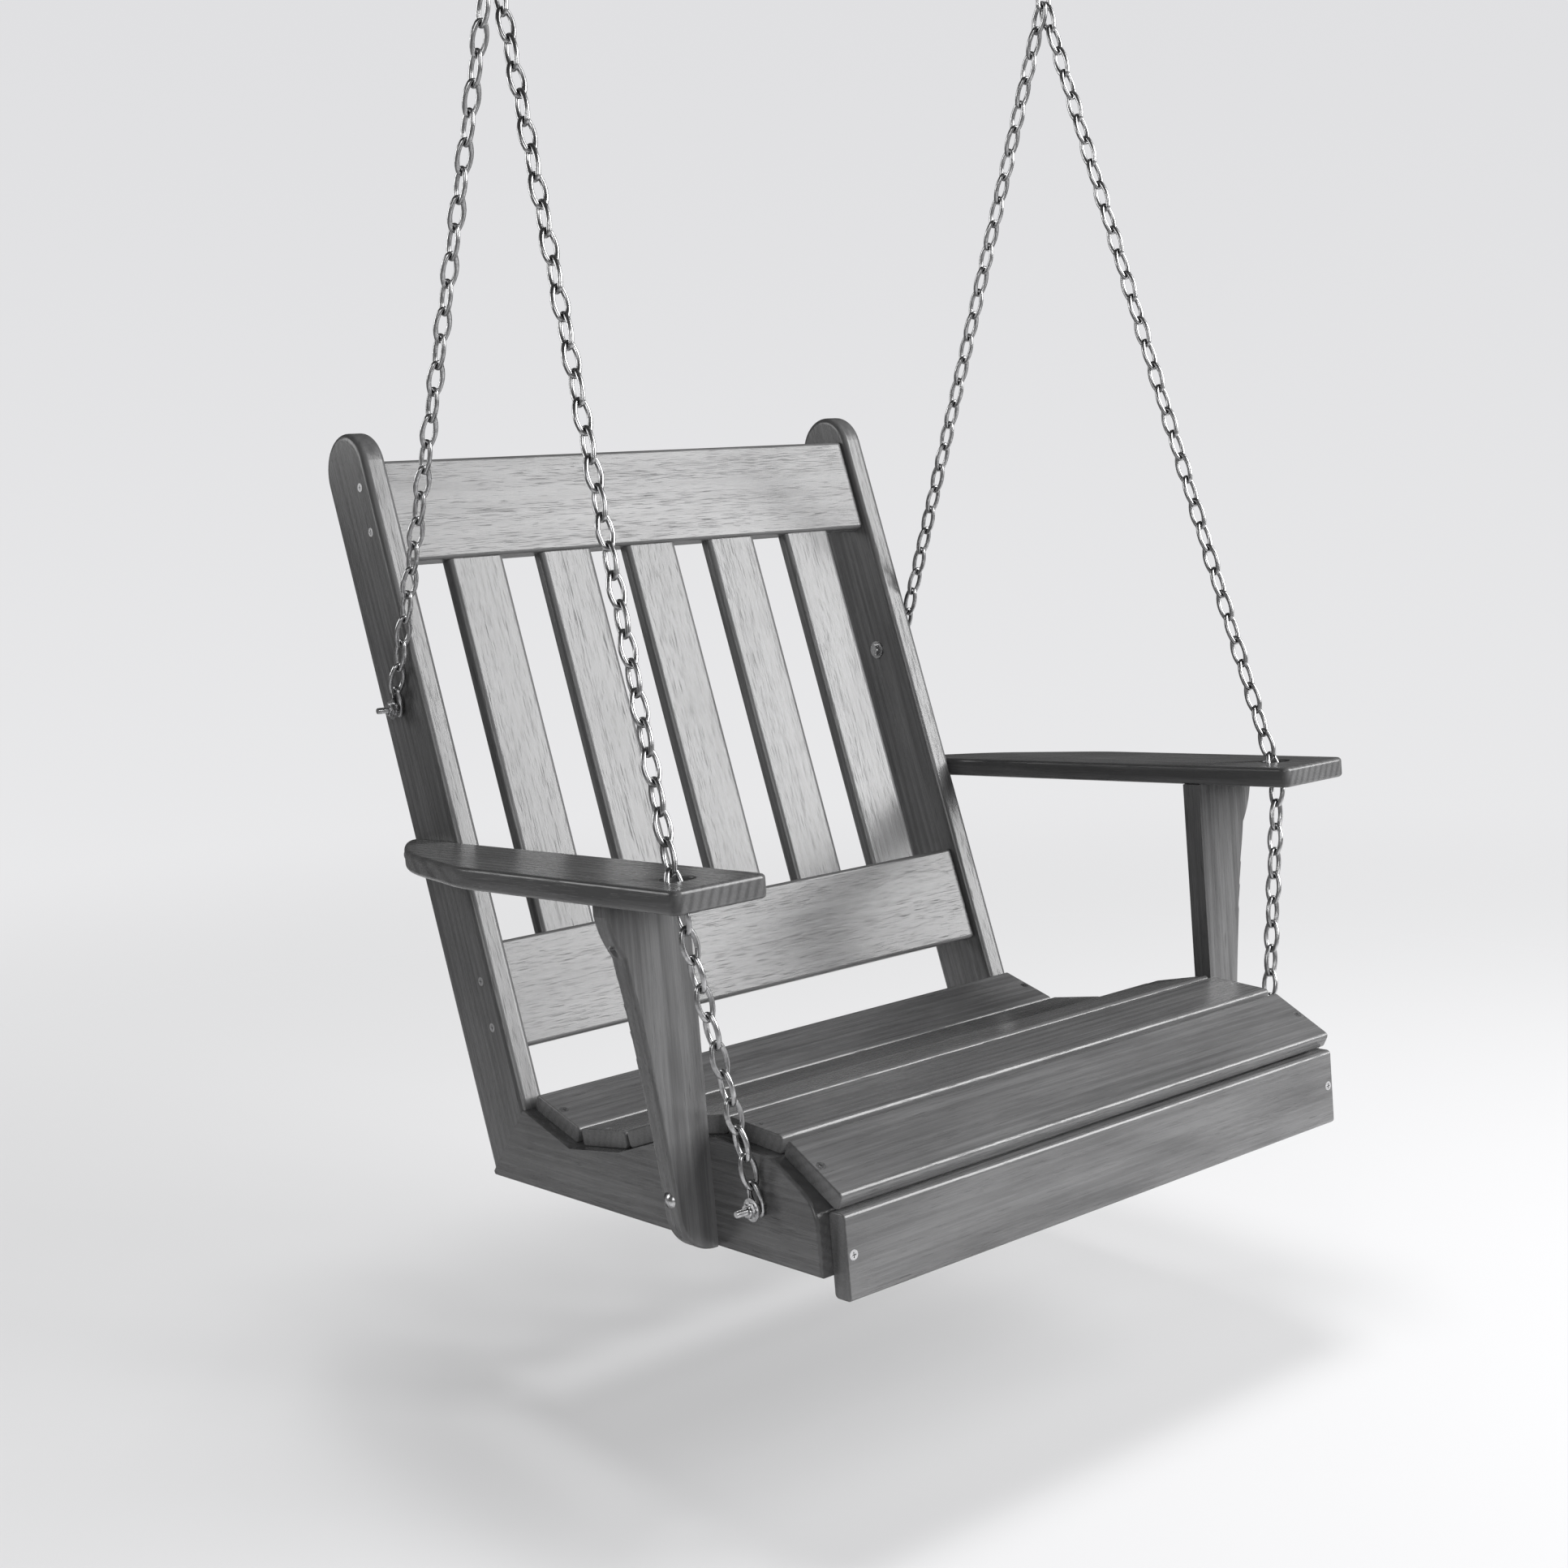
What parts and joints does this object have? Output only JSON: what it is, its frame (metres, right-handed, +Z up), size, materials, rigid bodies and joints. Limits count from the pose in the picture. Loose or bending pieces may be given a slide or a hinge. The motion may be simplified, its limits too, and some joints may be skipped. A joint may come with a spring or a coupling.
{
  "type": "porch swing",
  "caption": "Slatted wooden porch swing with flat arms and a contoured seat, hung by link chains from ceiling plates.",
  "frame": {"origin": "midway between the upper faces of the two ceiling plates", "axes": "+Z up, +Y from the front of the seat to its back, +X from left to right as seen from the front"},
  "size_m": [0.816, 0.7286, 1.244],
  "materials": {
    "stained_wood": "satin grey stain, fine grain",
    "dowel_wood": "plain",
    "zinc_chain": "bright zinc",
    "bolt_steel": "zinc plated",
    "screw_steel": "zinc plated",
    "hanger_steel": "galvanised"
  },
  "bodies": {
    "hangers": {"ceiling_plate_left": "hanger_steel", "ceiling_plate_right": "hanger_steel", "hanger_loop_left": "hanger_steel", "hanger_loop_right": "hanger_steel"},
    "upper_chains": {"joining_link_left": "zinc_chain", "joining_link_right": "zinc_chain", "quick_link_left": "zinc_chain", "quick_link_right": "zinc_chain", "quick_link_sleeve_left": "zinc_chain", "quick_link_sleeve_right": "zinc_chain", "upper_links_left": "zinc_chain", "upper_links_right": "zinc_chain"},
    "swing": {"apron": "stained_wood", "apron_screws": "screw_steel", "arm_bolts": "bolt_steel", "arm_left": "stained_wood", "arm_post_left": "stained_wood", "arm_post_right": "stained_wood", "arm_right": "stained_wood", "arm_screws": "screw_steel", "back_slat_1": "stained_wood", "back_slat_2": "stained_wood", "back_slat_3": "stained_wood", "back_slat_4": "stained_wood", "back_slat_5": "stained_wood", "carriage_nuts": "bolt_steel", "carriage_washers": "bolt_steel", "chain_bolts": "bolt_steel", "chain_nuts": "bolt_steel", "chain_washers": "bolt_steel", "front_chain_left": "zinc_chain", "front_chain_right": "zinc_chain", "joint_dowels": "dowel_wood", "lower_rail": "stained_wood", "post_bolts": "bolt_steel", "rear_chain_left": "zinc_chain", "rear_chain_right": "zinc_chain", "seat_rail_left": "stained_wood", "seat_rail_right": "stained_wood", "seat_slat_1": "stained_wood", "seat_slat_2": "stained_wood", "seat_slat_3": "stained_wood", "seat_slat_4": "stained_wood", "seat_slat_5": "stained_wood", "seat_slat_6": "stained_wood", "seat_slat_screws": "screw_steel", "stile_left": "stained_wood", "stile_right": "stained_wood", "stile_screws": "screw_steel", "top_rail": "stained_wood"}
  },
  "joints": [
    {"name": "hanger_swing", "type": "hinge", "parent": "hangers", "child": "upper_chains", "pos_m": [0, 0, -0.038], "axis": [1, 0, 0], "range_deg": [-35, 35]},
    {"name": "joining_pitch", "type": "hinge", "parent": "upper_chains", "child": "swing", "pos_m": [0, 0, -0.15548], "axis": [1, 0, 0], "range_deg": [-20, 20]}
  ]
}
